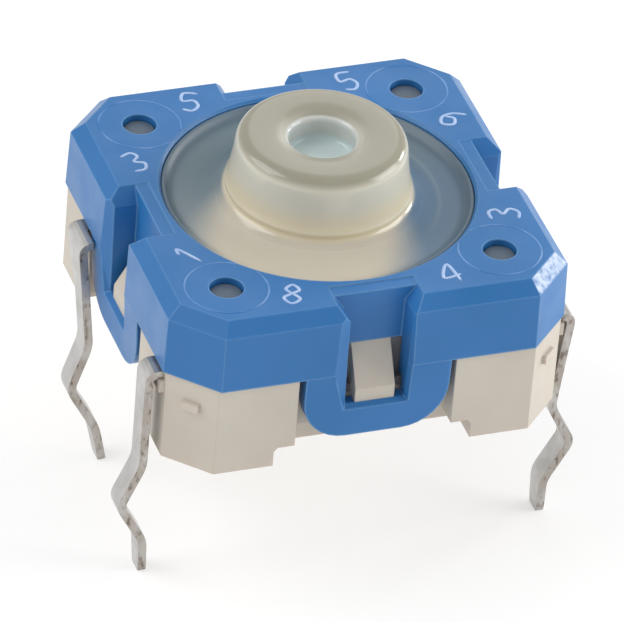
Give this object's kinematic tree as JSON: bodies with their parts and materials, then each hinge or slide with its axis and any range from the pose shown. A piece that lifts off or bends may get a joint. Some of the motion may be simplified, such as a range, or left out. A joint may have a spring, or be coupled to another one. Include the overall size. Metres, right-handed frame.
{
  "type": "pushbutton switch",
  "caption": "Square sealed pushbutton switch: clip-fit cover, moulded base, silicone cap and kinked through-board legs.",
  "frame": {"origin": "centre of the face of the base that sits on the board", "axes": "+Z out of the button, perpendicular to the board; the legs leave along -X and +X; +Y is away from the two front legs"},
  "size_m": [0.0142, 0.0122, 0.0115],
  "materials": {
    "cover_plastic": "moulded blue plastic, slightly satin",
    "base_plastic": "moulded cream plastic, matt",
    "cap_silicone": "translucent silicone, smooth",
    "pusher_plastic": "moulded plastic",
    "spring_steel": "rolled spring steel",
    "tinned_contact": "tin plated strip, satin with cut edges"
  },
  "bodies": {
    "housing": {"cover": "cover_plastic", "base": "base_plastic", "snap_disc": "spring_steel", "centre_contact": "tinned_contact", "rim_contact": "tinned_contact"},
    "button": {"sealing_cap": "cap_silicone", "pusher": "pusher_plastic"}
  },
  "joints": [
    {"name": "button_press", "type": "slide", "parent": "housing", "child": "button", "axis": [0, 0, -1], "range_m": [0, 0.00035], "stiffness_N_per_m": 7000, "deforming": ["sealing_cap", "snap_disc"]}
  ]
}
